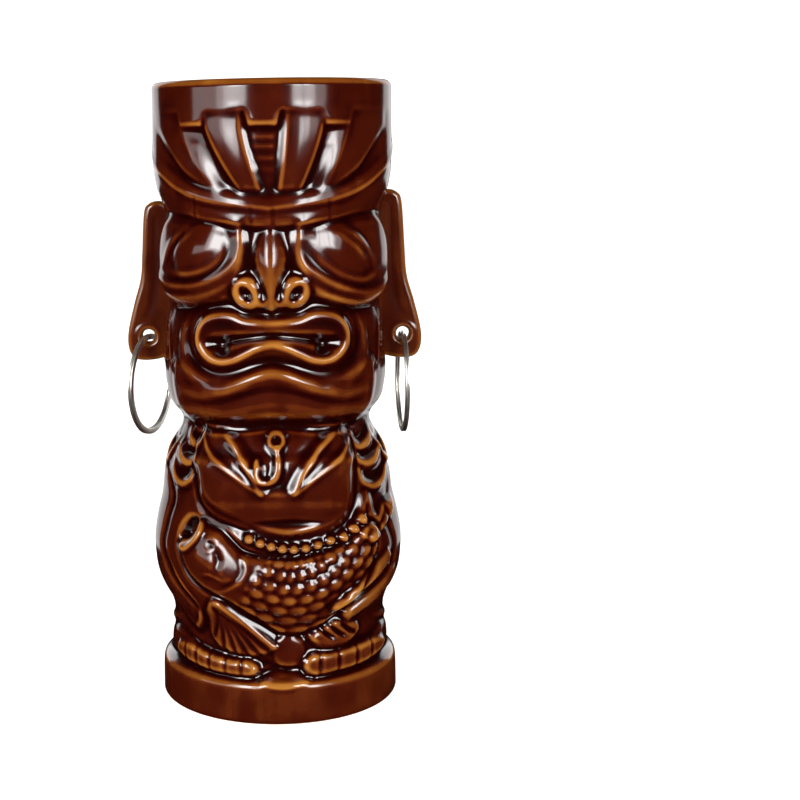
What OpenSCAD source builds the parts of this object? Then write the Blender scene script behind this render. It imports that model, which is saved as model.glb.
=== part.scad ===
// Tiki mug: a slip-cast, glazed stoneware mug with a carved face, a fish held
// in two hands, two pierced ear lugs and a loose split ring hanging in each ear.
// Origin: centre of the base on the table. +Z up, the face looks along -Y.
// Left and right are those of somebody who faces the mug: left is -X.

/* [Mug] */
// Height from the table to the rim
mug_h = 170; // [166:1:174]
// Diameter over the rim band
rim_d = 64.6; // [63:0.2:66]
// Diameter over the jaw, at cheek height
jaw_d = 60.8; // [60:0.2:62]
// Diameter of the neck, the narrowest place
neck_d = 51.4; // [50:0.2:54]
// Diameter of the belly, where the arms are
belly_d = 69; // [68:0.2:71]
// Diameter of the ankles, above the feet
ankle_d = 59.4; // [58:0.2:61]
// Diameter of the plinth
base_d = 66.8; // [65:0.2:68]
// Thickness of the cast wall
wall_t = 3.2; // [2.8:0.1:3.4]
// Thickness of the floor, with the foot recess taken out of it
floor_t = 5.5; // [5:0.5:7]

/* [Headdress] */
// Height of the plain band under the rim
band_h = 7; // [5:0.5:9]
// How far the ribs and the brim stand out from the panels
rib_out = 1.1; // [0.6:0.1:1.4]
// Width of one rib
rib_w = 5; // [4:0.5:6]
// Slope of the brim, low at the front and high at the back
brim_tilt = 20; // [16:1:24]

/* [Ears] */
// Thickness of an ear lug, front to back
ear_t = 4.6; // [4:0.2:5.2]
// Distance of an ear's mid-plane behind the mug's axis
ear_y = 5; // [3:0.5:7]
// Distance of the earring hole from the mug's axis
hole_x = 35.6; // [35.2:0.1:36.2]
// Height of the earring hole
hole_z = 100.8; // [99:0.2:103]
// Radius of the earring hole
hole_r = 1.8; // [1.7:0.05:2]

/* [Earrings] */
// Outside diameter of a split ring
ring_d = 28.5; // [24:0.5:30]
// Radial thickness of the ring's wire
ring_w = 1.7; // [1.5:0.1:1.8]
// Thickness of the ring's two coils together
ring_t = 1.3; // [1.2:0.1:1.4]
// Turn of the left ring about the vertical, front strand outward
left_yaw = 18; // [0:1:18]
// Turn of the right ring about the vertical, front strand outward
right_yaw = 3; // [0:1:18]

/* [Hidden] */

glaze = "#5a220c";
nickel = "#b9b4a8";
fine = 64;
rim_r = rim_d / 2;
jaw_r = jaw_d / 2;
neck_r = neck_d / 2;
belly_r = belly_d / 2;
ankle_r = ankle_d / 2;
base_r = base_d / 2;
panel_r = rim_r - rib_out;
foot_w = 6;
foot_rise = 1.5;
floor_round = 6;
brim_z = 146;
lobe = [35.3, 99.6];
lobe_r = 5.8;
flare = 1;
ring_drop = hole_r - ring_w / 2 - 0.55;
ring_mean_r = (ring_d - ring_w) / 2;

// Silhouette of the plain vessel as [radius, height], from the table up.
silhouette = [
    [base_r - 0.8, 0], [base_r, 3], [base_r - 0.6, 9.5], [ankle_r + 1, 14],
    [ankle_r, 22], [ankle_r + 1.2, 29], [belly_r - 1.2, 34.5], [belly_r, 42],
    [belly_r - 0.9, 51], [belly_r - 3, 60], [belly_r - 4.4, 69],
    [neck_r + 1.6, 75], [neck_r, 78.5], [jaw_r - 0.9, 84.5], [jaw_r, 93],
    [jaw_r - 1.5, 110], [jaw_r - 0.2, 121], [jaw_r - 0.9, 134],
    [panel_r, 142], [panel_r, 156], [panel_r, mug_h]
];

// Point at t between b and c on a smooth curve that runs through a, b, c, d.
function on_curve(a, b, c, d, t) =
    0.5 * (2 * b + (c - a) * t + (2 * a - 5 * b + 4 * c - d) * t * t
           + (3 * b - a - 3 * c + d) * t * t * t);

// The smooth curve through all points of p, with n steps between neighbours.
function smooth(p, n) = [
    for (i = [0 : len(p) - 2], k = [0 : n - 1])
        on_curve(p[max(i - 1, 0)], p[i], p[i + 1], p[min(i + 2, len(p) - 1)], k / n),
    p[len(p) - 1]
];

outline = smooth(silhouette, 3);

// Radius of the plain vessel at height z.
function radius_at(z) = lookup(z, [for (p = outline) [p[1], p[0]]]);

// Solid of the vessel's outside, grown outward by out.
module vessel(out = 0) {
    rotate_extrude($fn = fine)
        polygon(concat([[0, 0]], [for (p = outline) [p[0] + out, p[1]]], [[0, mug_h]]));
}

// The drinking space: the outline moved in by the wall, with a rounded floor.
module cavity() {
    floor_r = ankle_r - wall_t;
    corner = [for (a = [-90 : 15 : 0])
        [floor_r - floor_round + floor_round * cos(a),
         floor_t + floor_round + floor_round * sin(a)]];
    wall = [for (p = outline) if (p[1] > floor_t + 2 * floor_round) [p[0] - wall_t, p[1]]];
    rotate_extrude($fn = fine)
        polygon(concat([[0, floor_t]], corner, wall,
                       [[panel_r - wall_t, mug_h + 1], [0, mug_h + 1]]));
}

// The recess under the floor that leaves a foot ring.
module foot_recess() {
    translate([0, 0, -1])
        cylinder(r = base_r - foot_w, h = foot_rise + 1, $fn = fine);
}

// A flat outline, drawn in X and Z, carved on the front with relief out.
module carved(out) {
    intersection() {
        vessel(out);
        rotate([90, 0, 0])
            linear_extrude(height = base_r + 10) children();
    }
}

// Plain band under the rim, the ribs of the headdress and its sloping brim.
module headdress() {
    translate([0, 0, mug_h - band_h])
        cylinder(r = rim_r, h = band_h, $fn = fine);
    for (i = [0 : 15])
        rotate([0, 0, 11.25 + i * 22.5])
            translate([-rib_w / 2, -rim_r, 143])
                cube([rib_w, rim_r / 2, mug_h - band_h - 142]);
    translate([0, 0, brim_z])
        rotate([brim_tilt, 0, 0])
            rotate_extrude($fn = fine)
                translate([rim_r - 2.2, 0])
                    circle(r = 3.2, $fn = 32);
}

// Eyes, nose, nostrils and the double-lobed lips round the open mouth.
module face() {
    for (side = [-1, 1]) {
        translate([side * 16.5, -19.5, 125.5])
            sphere(r = 9, $fn = fine);
        translate([side * 6.3, -27, 115.4])
            rotate([90, 0, 0])
                difference() {
                    cylinder(r = 3.6, h = 7.4, $fn = 32);
                    translate([0, 0, 5.4])
                        cylinder(r = 1.5, h = 3, $fn = 32);
                }
    }
    translate([0, -30, 113])
        rotate([-9, 0, 0])
            cylinder(r1 = 4.6, r2 = 3.8, h = 21, $fn = 32);
    carved(3.2)
        difference() {
            lips(0);
            lips(3.4);
        }
    carved(1.4)
        difference() {
            translate([0, 102])
                circle(r = 21.6, $fn = fine);
            translate([0, 104])
                circle(r = 19.6, $fn = fine);
            translate([-30, 95])
                square([60, 40]);
        }
}

// Outline of the lips, moved in by inset: two lobes joined by a waist.
module lips(inset) {
    for (side = [-1, 1])
        translate([side * 11.8, 104])
            circle(r = 8.2 - inset, $fn = 32);
    translate([-11.8, 104 - 5.8 + inset])
        square([23.6, 2 * (5.8 - inset)]);
}

// The mouth's dark pocket between the lips.
module mouth_pocket() {
    difference() {
        rotate([90, 0, 0])
            linear_extrude(height = base_r + 10)
                lips(3.4);
        vessel(-0.8);
    }
}

// V-shaped collar, a plain hook pendant, leaves on the shoulders and the navel.
module chest() {
    for (side = [-1, 1]) {
        carved(1)
            polygon([[side * 19, 79], [side * 15, 79], [side * 0.8, 60], [side * 2.6, 60]]);
        for (leaf = [[21.3, 77], [23.6, 71.5], [25.5, 65.5]])
            carved(1.3)
                translate([side * leaf[0], leaf[1]])
                    circle(r = 3.4, $fn = 32);
    }
    carved(1.4)
        translate([0, 78])
            square([1.6, 12], center = true);
    carved(1.4)
        difference() {
            translate([1.6, 71.5])
                circle(r = 3.2, $fn = 32);
            translate([1.6, 71.5])
                circle(r = 1.7, $fn = 32);
            translate([-4, 71.5])
                square([5.6, 8]);
        }
    carved(0.9)
        difference() {
            translate([1.8, 58])
                circle(r = 7.4, $fn = 32);
            translate([1.8, 60.5])
                circle(r = 7.6, $fn = 32);
        }
}

// The fish: a crescent body with its head at the left, the beads of its back,
// its eye and two fins.
module fish() {
    carved(1.4)
        difference() {
            translate([1, 55])
                circle(r = 26, $fn = fine);
            translate([3, 79])
                circle(r = 31, $fn = fine);
        }
    for (i = [0 : 8])
        bead(3.6 * i - 7, 48.8 + 0.018 * pow(3.6 * i - 11, 2), 1.7);
    bead(-16.7, 51.2, 2.2);
    carved(2)
        intersection() {
            translate([-16.5, 36])
                circle(r = 20, $fn = fine);
            polygon([[-18, 38], [-15, 12], [1, 20]]);
        }
    carved(1.8)
        intersection() {
            translate([14, 34])
                circle(r = 9.5, $fn = fine);
            polygon([[11, 36], [4, 22], [24, 22], [19, 34]]);
        }
}

// A ball of radius r set in the front of the vessel at x and z.
module bead(x, z, r) {
    seat = radius_at(z) + 0.3;
    translate([x, -sqrt(seat * seat - x * x), z])
        sphere(r = r, $fn = 24);
}

// Two arms that come round the belly: one flat hand and two long fingers.
module arms() {
    carved(1)
        polygon([[-32, 60], [-28.5, 60], [-27.5, 46], [-20.5, 31], [-21.5, 26], [-25, 27], [-32, 44]]);
    for (finger = [0, 1])
        carved(1.6)
            translate([5.5 * finger, -2.5 * finger])
                polygon([[12.5, 32], [13.5, 34.6], [24.5, 42.5], [26, 39.5]]);
}

// Two feet of six rounded toes each, on the plinth.
module feet() {
    for (side = [-1, 1], i = [0 : 5])
        rotate([0, 0, side * (13 + i * 7.4)])
            translate([0, -(base_r - 2.6), 9]) {
                cylinder(r = 2.2, h = 8.5, $fn = 24);
                translate([0, 0, 8.5])
                    sphere(r = 2.2, $fn = 24);
            }
}

module mug_body() {
    color(glaze)
        difference() {
            union() {
                vessel();
                headdress();
                face();
                chest();
                fish();
                arms();
                feet();
            }
            cavity();
            foot_recess();
            mouth_pocket();
        }
}

// An ear lug for the right side, with its hollow and its flared hole.
module ear() {
    translate([0, ear_y + ear_t / 2, 0])
        rotate([90, 0, 0])
            difference() {
                union() {
                    translate([lobe[0], lobe[1], 0])
                        cylinder(r = lobe_r, h = ear_t, $fn = fine);
                    linear_extrude(height = ear_t)
                        polygon([[27.6, 96], [27.6, 138], [33.4, 138.4], [35.4, 135.5],
                                 [36.3, 124], [36.8, 117], [38.9, 110], [40.8, 101.5], [35, 94]]);
                }
                translate([0, 0, ear_t - 1.2])
                    linear_extrude(height = 2)
                        polygon([[30.5, 112], [30.5, 134], [33.4, 134.6], [34.6, 124],
                                 [35, 116.5], [36.6, 110], [33, 106.5]]);
                translate([hole_x, hole_z, -1])
                    cylinder(r = hole_r, h = ear_t + 2, $fn = fine);
                translate([hole_x, hole_z, -0.01])
                    cylinder(r1 = hole_r + flare, r2 = hole_r, h = flare, $fn = fine);
                translate([hole_x, hole_z, ear_t - flare + 0.01])
                    cylinder(r1 = hole_r, r2 = hole_r + flare, h = flare, $fn = fine);
            }
}

module left_ear() {
    color(glaze)
        mirror([1, 0, 0])
            ear();
}

module right_ear() {
    color(glaze)
        ear();
}

// A split ring, hanging in its hole and turned by yaw about the vertical.
// Its wire has chamfered edges and a seam between its two coils.
module split_ring(yaw) {
    inner = ring_d / 2 - ring_w;
    outer = ring_d / 2;
    half = ring_t / 2;
    edge = 0.2;
    seam = 0.12;
    rotate([0, 0, yaw])
        translate([0, 0, -ring_drop - ring_mean_r])
            rotate([0, 90, 0])
                rotate_extrude($fn = fine)
                    polygon([[inner + edge, -half], [outer - edge, -half], [outer, -half + edge],
                             [outer, -seam], [outer - seam, 0], [outer, seam],
                             [outer, half - edge], [outer - edge, half], [inner + edge, half],
                             [inner, half - edge], [inner, seam], [inner + seam, 0],
                             [inner, -seam], [inner, -half + edge]]);
}

module left_earring() {
    color(nickel)
        translate([-hole_x, ear_y, hole_z])
            split_ring(-left_yaw);
}

module right_earring() {
    color(nickel)
        translate([hole_x, ear_y, hole_z])
            split_ring(right_yaw);
}

mug_body();
left_ear();
right_ear();
left_earring();
right_earring();
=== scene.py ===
"""Looks of the tiki mug: carved and glazed body, pierced ears, split-ring earrings.

The carving is a height map over the turned wall of the mug. Its outlines are pairs (x, z) in
millimetres for somebody who faces the mug, or (degrees, z) where a shape goes round the side.
"""
import math

import bpy
import numpy as np
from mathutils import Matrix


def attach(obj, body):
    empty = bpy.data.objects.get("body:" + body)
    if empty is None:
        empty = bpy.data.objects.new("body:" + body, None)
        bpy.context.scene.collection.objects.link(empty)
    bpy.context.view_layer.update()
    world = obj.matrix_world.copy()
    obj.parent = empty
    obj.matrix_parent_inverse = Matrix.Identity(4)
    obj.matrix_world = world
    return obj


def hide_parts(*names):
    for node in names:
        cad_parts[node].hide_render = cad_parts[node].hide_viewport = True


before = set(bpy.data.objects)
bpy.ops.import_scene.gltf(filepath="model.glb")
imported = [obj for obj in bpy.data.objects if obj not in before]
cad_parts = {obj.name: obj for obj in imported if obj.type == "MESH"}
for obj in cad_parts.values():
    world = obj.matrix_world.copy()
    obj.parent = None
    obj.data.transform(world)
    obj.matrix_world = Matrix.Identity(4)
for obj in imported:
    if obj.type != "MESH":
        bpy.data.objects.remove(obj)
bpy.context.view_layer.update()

import openvdb
from mathutils import Matrix

MM = 0.001
HEIGHT = 170.0
WALL = 3.2
FLOOR_Z = 5.5
RIM_R = 32.3
FOOT_R = 27                       # the foot ring's inside
REF_R = 31.0                      # radius at which an angle becomes a length along the surface
TURN = 2 * math.pi * REF_R
FRONT_STEP = 0.26                 # column spacing on the carved front
BACK_STEP = 0.5
ROW_STEP = 0.3
FRONT_HALF = 52.0                 # the fine columns reach this far to each side
CLAY_BLUR = 0.36                  # how softly the clay, the glaze and the broad form are drawn
GLAZE_BLUR = 0.85
LOW_GLAZE_BLUR = 0.5
BROAD_BLUR = 3.5

# radius of the turned wall at a few heights, as (z, radius)
PROFILE = [(0, 33.3), (9.3, 33.1), (11.2, 32.4), (13.4, 30.3), (20, 29.7), (26, 29.8), (31, 31.6),
           (36, 33.4), (41, 34), (46, 34), (52, 33), (58, 31.6), (65, 30.9), (71, 29.4),
           (75, 27.2), (78, 25.9), (80.5, 26.5), (84, 29.2), (88, 30.2), (93, 30.6), (100, 30.2),
           (106, 29.8), (110, 28.9), (114, 29.5), (119, 30.3), (126, 30.2), (133, 29.6),
           (138, 30), (142, 31.4), (147, 32.2), (153, 32.4), (161, 32.3), (170, 32.3)]


# ---------------------------------------------------------------- curves and soft shapes

def smooth_line(points, closed=False, step=0.5):
    """Points about step apart on a smooth curve through the given ones."""
    p = np.array(points, float)
    if closed:
        p = np.vstack([p[-1:], p, p[:2]])
    else:
        p = np.vstack([2 * p[0] - p[1], p, 2 * p[-1] - p[-2]])
    out = []
    for a, b, c, d in zip(p[:-3], p[1:-2], p[2:-1], p[3:]):
        count = max(2, int(np.ceil(np.linalg.norm(c - b) / step)))
        t = np.linspace(0, 1, count, endpoint=False)[:, None]
        out.append(0.5 * (2 * b + (c - a) * t + (2 * a - 5 * b + 4 * c - d) * t ** 2
                          + (3 * b - a - 3 * c + d) * t ** 3))
    if not closed:
        out.append(p[-2:-1])
    return np.vstack(out)


def through(points, at):
    """The value at each place of a smooth curve through (place, value) points."""
    line = smooth_line(points)
    return np.interp(at, line[:, 0], line[:, 1])


def soft_step(t):
    """0 below 0, 1 above 1, smooth between."""
    t = np.clip(t, 0, 1)
    return t * t * (3 - 2 * t)


def bump(t):
    """1 at 0, 0 beyond -1 and 1, smooth between."""
    return 0.5 + 0.5 * np.cos(np.pi * np.clip(t, -1, 1))


def half_round(t):
    """The height of a half circle of radius 1."""
    return np.sqrt(np.clip(1 - t * t, 0, 1))


def smooth_max(a, b, k):
    """The larger of two heights, with a fillet of about k where they cross."""
    near = np.clip(k - np.abs(a - b), 0, None) / k
    return np.maximum(a, b) + near * near * k / 4


def wall_radius(z):
    return through(PROFILE, z)


def front(points):
    """(x, z) as seen from the front, to (length along the surface, z)."""
    p = np.array(points, float)
    ratio = np.clip(p[:, 0] / (wall_radius(p[:, 1]) + 0.6), -0.999, 0.999)
    return np.column_stack([REF_R * np.arcsin(ratio), p[:, 1]])


def around(points):
    """(degrees from the front, z) to (length along the surface, z)."""
    p = np.array(points, float)
    return np.column_stack([REF_R * np.radians(p[:, 0]), p[:, 1]])


def mirrored(points):
    return [(-x, z) for x, z in points]


def circle(centre, radius, angles):
    """Points round a centre, at angles in radians."""
    return [(centre[0] + radius * math.cos(a), centre[1] + radius * math.sin(a)) for a in angles]


def both_sides(half):
    """A line across the mug from its left half, which ends on the middle line."""
    return half + mirrored(half[:-1])[::-1]


def nearest(s, z, line):
    """Distance from each place to a polyline, and how far along it that is, 0 to 1."""
    best = np.full(s.shape, 1e9)
    along = np.zeros(s.shape)
    pieces = np.diff(line, axis=0)
    lengths = np.hypot(pieces[:, 0], pieces[:, 1]) + 1e-9
    starts = np.concatenate([[0], np.cumsum(lengths)])
    for a, piece, length, start in zip(line[:-1], pieces, lengths, starts):
        t = ((s - a[0]) * piece[0] + (z - a[1]) * piece[1]) / length ** 2
        t = np.clip(t, 0, 1)
        gap = (s - a[0] - t * piece[0]) ** 2 + (z - a[1] - t * piece[1]) ** 2
        closer = gap < best
        best = np.where(closer, gap, best)
        along = np.where(closer, start + t * length, along)
    return np.sqrt(best), along / starts[-1]


def inside(s, z, ring):
    """True inside a closed outline."""
    odd = np.zeros(s.shape, bool)
    for (s0, z0), (s1, z1) in zip(ring, np.roll(ring, -1, axis=0)):
        if z0 == z1:
            continue
        odd ^= ((z0 > z) != (z1 > z)) & (s < (s1 - s0) * (z - z0) / (z1 - z0) + s0)
    return odd


def spread(values, along):
    """A number as it is, or a list as values spread evenly along a line."""
    if np.isscalar(values):
        return values
    return np.interp(along, np.linspace(0, 1, len(values)), values)


class Relief:
    """Height of the carving over the turned wall, at rows z and columns s."""

    def __init__(self, s, z):
        self.s = s
        self.z = z
        self.h = np.zeros((len(z), len(s)))
        self.tone = np.zeros((len(z), len(s)))
        self.deg = np.degrees(s / REF_R)[None, :]
        self.row = z[:, None]

    def windows(self, line, margin):
        """The parts of the grid near a line, as (index, s, z)."""
        low = line.min(axis=0) - margin
        high = line.max(axis=0) + margin
        rows = slice(*np.searchsorted(self.z, (low[1], high[1])))
        for turn in (-TURN, 0.0, TURN):
            cols = slice(*np.searchsorted(self.s, (low[0] + turn, high[0] + turn)))
            if cols.stop > cols.start and rows.stop > rows.start:
                s, z = np.meshgrid(self.s[cols] - turn, self.z[rows])
                yield (rows, cols), s, z

    def ridge(self, line, width, height, closed=False):
        """A soft raised band, or a cut one for a negative height. Width is half the band's."""
        line = smooth_line(line, closed)
        if closed:
            line = np.vstack([line, line[:1]])
        for at, s, z in self.windows(line, np.max(width)):
            gap, along = nearest(s, z, line)
            self.h[at] += spread(height, along) * bump(gap / spread(width, along))

    def bar(self, line, radius, height, blend=0.5, base=0.0, square=2):
        """A half-round bar merged into what is there, height above the wall at its crest.

        A higher square gives a flatter top and steeper sides."""
        line = smooth_line(line)
        for at, s, z in self.windows(line, np.max(radius)):
            gap, along = nearest(s, z, line)
            t = gap / spread(radius, along)
            top = base + (spread(height, along) - base) * half_round(t ** (square / 2))
            self.h[at] = np.where(t < 1, smooth_max(self.h[at], top, blend), self.h[at])

    def slab(self, ring, height, edge, crown=0.0, smooth=True):
        """Raises the inside of an outline, with a soft edge inside it and a crowned middle."""
        ring = smooth_line(ring, True) if smooth else np.array(ring, float)
        loop = np.vstack([ring, ring[:1]])
        for at, s, z in self.windows(ring, 0.5):
            gap, _ = nearest(s, z, loop)
            depth = np.where(inside(s, z, ring), gap, 0)
            reach = depth.max() + 1e-6
            rise = height * soft_step(depth / edge)
            self.h[at] += rise + crown * soft_step(depth / reach)

    def tint(self, ring, amount, edge):
        """Makes the glaze inside an outline thinner, or thicker where the amount is negative.
        Inside the mouth the darker glaze is painted shade.
        """
        ring = smooth_line(ring, True)
        loop = np.vstack([ring, ring[:1]])
        for at, s, z in self.windows(ring, 0.5):
            gap, _ = nearest(s, z, loop)
            self.tone[at] += amount * soft_step(np.where(inside(s, z, ring), gap, 0) / edge)

    def dome(self, centre, size, height, turn=0.0, blend=0.4, base=0.0, power=1):
        """An oval half-round boss merged into what is there. Power 2 gives it a softer edge."""
        for at, _, _, t in self.ovals(centre, size, turn):
            top = base + (height - base) * half_round(t) ** power
            self.h[at] = np.where(t < 1, smooth_max(self.h[at], top, blend), self.h[at])

    def pit(self, centre, size, depth, turn=0.0):
        """An oval hollow with a soft edge."""
        for at, _, _, t in self.ovals(centre, size, turn):
            self.h[at] -= depth * bump(t)

    def ovals(self, centre, size, turn):
        """The parts of the grid near an oval, with the distance from its centre as a share."""
        c, n = math.cos(math.radians(turn)), math.sin(math.radians(turn))
        for at, s, z in self.windows(np.array([centre], float), max(size)):
            u = ((s - centre[0]) * c + (z - centre[1]) * n) / size[0]
            v = (-(s - centre[0]) * n + (z - centre[1]) * c) / size[1]
            yield at, s, z, np.hypot(u, v)


# ---------------------------------------------------------------- headdress

TAB_STEP = 36                     # degrees between the tabs under the rim band
TAB_SHIFT = 2.8                   # the middle tab hangs this far to the left
# the edges of the fan's ribs in degrees, at z 158 and at z 142
FAN_EDGES = [(-72, -40), (-46, -26), (-30, -14), (-13.5, -4.5), (8.5, 4.5), (25, 14.5), (39, 26),
             (69, 44)]
BRIM_LOWER = [(0, 132.3), (28, 133.7), (45, 135), (70, 135.7), (95, 137.5), (130, 147),
              (180, 153)]
# height of the brim's roll, from its lower edge at 0 to its crest at 1 and past it
BRIM_ROLL = [(0, 0), (0.12, 1.4), (0.25, 2.0), (0.38, 2.15), (0.6, 1.95), (0.8, 1.7),
             (0.92, 1.6), (1, 1.6), (1.25, 1.1), (1.6, 0.2), (1.8, 0), (2, 0)]
BRIM_CREST = [(0, 137.7), (30, 139.7), (47, 142.4), (60, 145.7), (74, 149.3), (90, 153.5),
              (120, 158), (180, 160)]
FAN_FOOT = [(0, 141), (25, 141.3), (36, 143.2), (46, 146.4), (55, 151), (66, 156), (80, 159.5),
            (110, 164), (180, 166)]


def fan(deg, z):
    """Ribs that close in downwards: the depth of the hollows, the ribs' crowns, the edges."""
    down = np.clip((158 - z) / 16, 0, 1.15) ** 1.2
    edges = [top + (bottom - top) * down for top, bottom in FAN_EDGES]
    hollow = soft_step((edges[0] - deg + 1.6) / 3.2) + soft_step((deg - edges[-1] + 1.6) / 3.2)
    crown = np.zeros(hollow.shape)
    lines = bump((deg - edges[-1]) / 1.7)
    for k, (left, right) in enumerate(zip(edges[:-1], edges[1:])):
        lines = lines + bump((deg - left) / 1.7)
        width = right - left
        if k % 2 == 0:
            crown = crown + bump((deg - left - width / 2) / (width / 2 + 1))
            continue
        slow = {1: (0.75, 0.15), 3: (0.16, 0.16), 5: (0.15, 0.75)}[k]
        hollow = hollow + (soft_step((deg - left) / (slow[0] * width))
                           * soft_step((right - deg) / (slow[1] * width)))
    return hollow, crown, lines


def headdress(r):
    side = np.abs(r.deg)
    z = r.row
    crest = through(BRIM_CREST, side)
    lower = through(BRIM_LOWER, side)
    foot = through(FAN_FOOT, side)

    off_tab = np.abs((r.deg + TAB_SHIFT + TAB_STEP / 2) % TAB_STEP - TAB_STEP / 2)
    hang = 3.6 * soft_step((8.8 - off_tab) / 2.6) * ((side < 50) | (side > 110))
    band_edge = 161.3 - hang
    band = soft_step((z - band_edge) / 1.0)
    shown = soft_step((78 - side) / 26)
    above_crest = soft_step((z - crest - 0.8) / 3.0) * shown
    open_part = (1 - band) * above_crest
    r.h -= 0.35 * open_part
    r.h += (0.15 + 0.15 * (hang > 1)) * bump((z - band_edge - 1.1) / 1.1) * shown

    hollow, crown, lines = fan(r.deg, z)
    on_fan = soft_step((z - foot) / 1.8) * open_part
    r.h -= 1.15 * hollow * on_fan
    r.h += 0.30 * crown * on_fan
    r.h += 0.24 * lines * on_fan
    r.h -= 0.75 * (open_part - on_fan)

    across = (z - lower) / (crest - lower)
    roll = through(BRIM_ROLL, np.clip(across, 0, 1.9))
    facing = np.clip(np.cos(np.radians(r.deg)), 0, 1)
    r.h += roll * 1.1 * facing ** 1.4
    r.h += 0.65 * bump((z - crest + 0.3) / 1.1) * (1 - 0.25 * facing)
    r.h += 0.25 * bump((z - lower - 0.9) / 0.9) * shown
    r.h -= 0.6 * bump((z - lower + 1.0) / 2.0) * soft_step((80 - side) / 20)

    for z0, rise in ((155.4, 0.4), (153.1, 0.4), (150.1, 0.35), (147.4, 0.2)):
        r.ridge(front([(-3.8, z0), (0.8, z0)]), 1.3, rise)
    for x in (-18.5, 16.4):
        for z0 in (156, 153.8):
            r.ridge(front([(x - 1.6, z0), (x + 1.6, z0)]), 1.0, 0.18)
    for x, height in ((-19, 5), (-4.5, 4), (0.7, 4), (14.5, 4.5)):
        foot_z = through(BRIM_LOWER, math.degrees(math.asin(abs(x) / 31))) + 1
        r.ridge(front([(x, foot_z), (x, foot_z + height)]), 0.5, -0.3)


# ---------------------------------------------------------------- face

LEFT_MOUND = [(-5.8, 130), (-7, 134.5), (-14, 135.2), (-21, 136), (-28, 135.5), (-30.8, 126),
              (-30.5, 118), (-28.8, 113), (-24, 110.6), (-16.5, 111.6), (-10.5, 113.6),
              (-7.8, 118), (-5.8, 124)]
LEFT_LID = [(-7, 131.5), (-6.9, 128), (-8.8, 124), (-13, 120), (-19.5, 117.4), (-26.5, 116.8),
            (-30, 118.5)]
LEFT_BAG = [(-7, 123.5), (-10.5, 118.8), (-16.3, 115.6), (-23.5, 114), (-28, 114.8),
            (-30.5, 117)]
RIGHT_MOUND = [(5.4, 130), (6.5, 134.5), (14, 135.2), (21, 136), (28, 135.5), (30.8, 126),
               (30.6, 118.5), (29, 113.3), (25, 110.7), (20, 110.5), (15, 112), (10.2, 114.2),
               (7.4, 118.5), (5.4, 124.5)]
RIGHT_LID = [(6.2, 131.8), (6, 127), (8.7, 122.4), (15, 117.8), (21.8, 114.8), (26.5, 114.6),
             (30, 117)]
RIGHT_BAG = [(6, 123.3), (10, 118), (15.5, 114.1), (21.5, 112.4), (26.5, 112.8), (30, 115.3)]
LEFT_CREASES = [[(-11.2, 130), (-12.2, 125.2), (-15.4, 122), (-20.6, 120.4), (-26, 120.6)],
                [(-21.5, 132), (-25, 129), (-27, 125.4), (-28.3, 122)],
                [(-19.5, 131.5), (-23, 127.8), (-25, 123.8)]]
RIGHT_CREASES = [[(10.4, 130.4), (11.4, 125.4), (14.2, 122), (18.4, 119.3), (23, 118.2),
                  (27, 119.6)],
                 [(17, 131.8), (21.7, 129), (25, 124.6), (26.4, 121.4)],
                 [(14.6, 131.4), (19, 128.2), (23.4, 123)]]

LIPS = [(0, 110), (5.7, 110.1), (9.5, 111.4), (13.3, 111.7), (17, 110.6), (19.8, 107.8),
        (21.2, 103.5), (20.8, 100), (18.8, 97), (16, 95.4), (13, 95.2), (9.5, 95.9), (6.3, 97.2),
        (3, 98.4), (0, 98.8)]
LIP_CREST = [(0, 108.3), (6.4, 108.9), (9.6, 110), (12.6, 110.2), (15.8, 109.3), (17.8, 107.2),
             (18.8, 103.6), (17.8, 100.6), (16, 98.7), (13.3, 97.8), (10.2, 98.2), (7, 99.7),
             (3.6, 101.6), (0, 102.5)]
LIP_GROOVE = [(0, 112), (5, 111.8), (10, 112.8), (15, 113), (20.2, 110.3), (22.4, 106.5),
              (22.6, 101.5), (20.6, 97.2), (17, 94.5), (12.5, 93.9), (8, 95.2), (3.6, 97.1),
              (0, 97.9)]
CHEEK_RING = [(20.8, 110), (23.8, 105), (24.3, 99.5), (22.6, 95.2), (19, 92.2), (15, 91.2)]
CHIN_FOLD = both_sides([(-24, 89), (-18, 89), (-13, 90), (-8.5, 92), (-4, 94), (0, 94.8)])
CHIN_CUT = both_sides([(-23, 86.6), (-17, 86.8), (-9, 89), (0, 90.8)])
CHIN_LOW = both_sides([(-23.5, 83.6), (-13, 84.3), (-6, 86), (0, 87)])
CHIN_EDGE = both_sides([(-28, 81.6), (-24, 80.4), (-20, 79.7), (-14, 79.7), (-7, 80.4), (0, 81)])


def whole(half):
    """A closed outline from its right half, which starts and ends on the middle line."""
    return half + mirrored(half[1:-1])[::-1]


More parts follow.
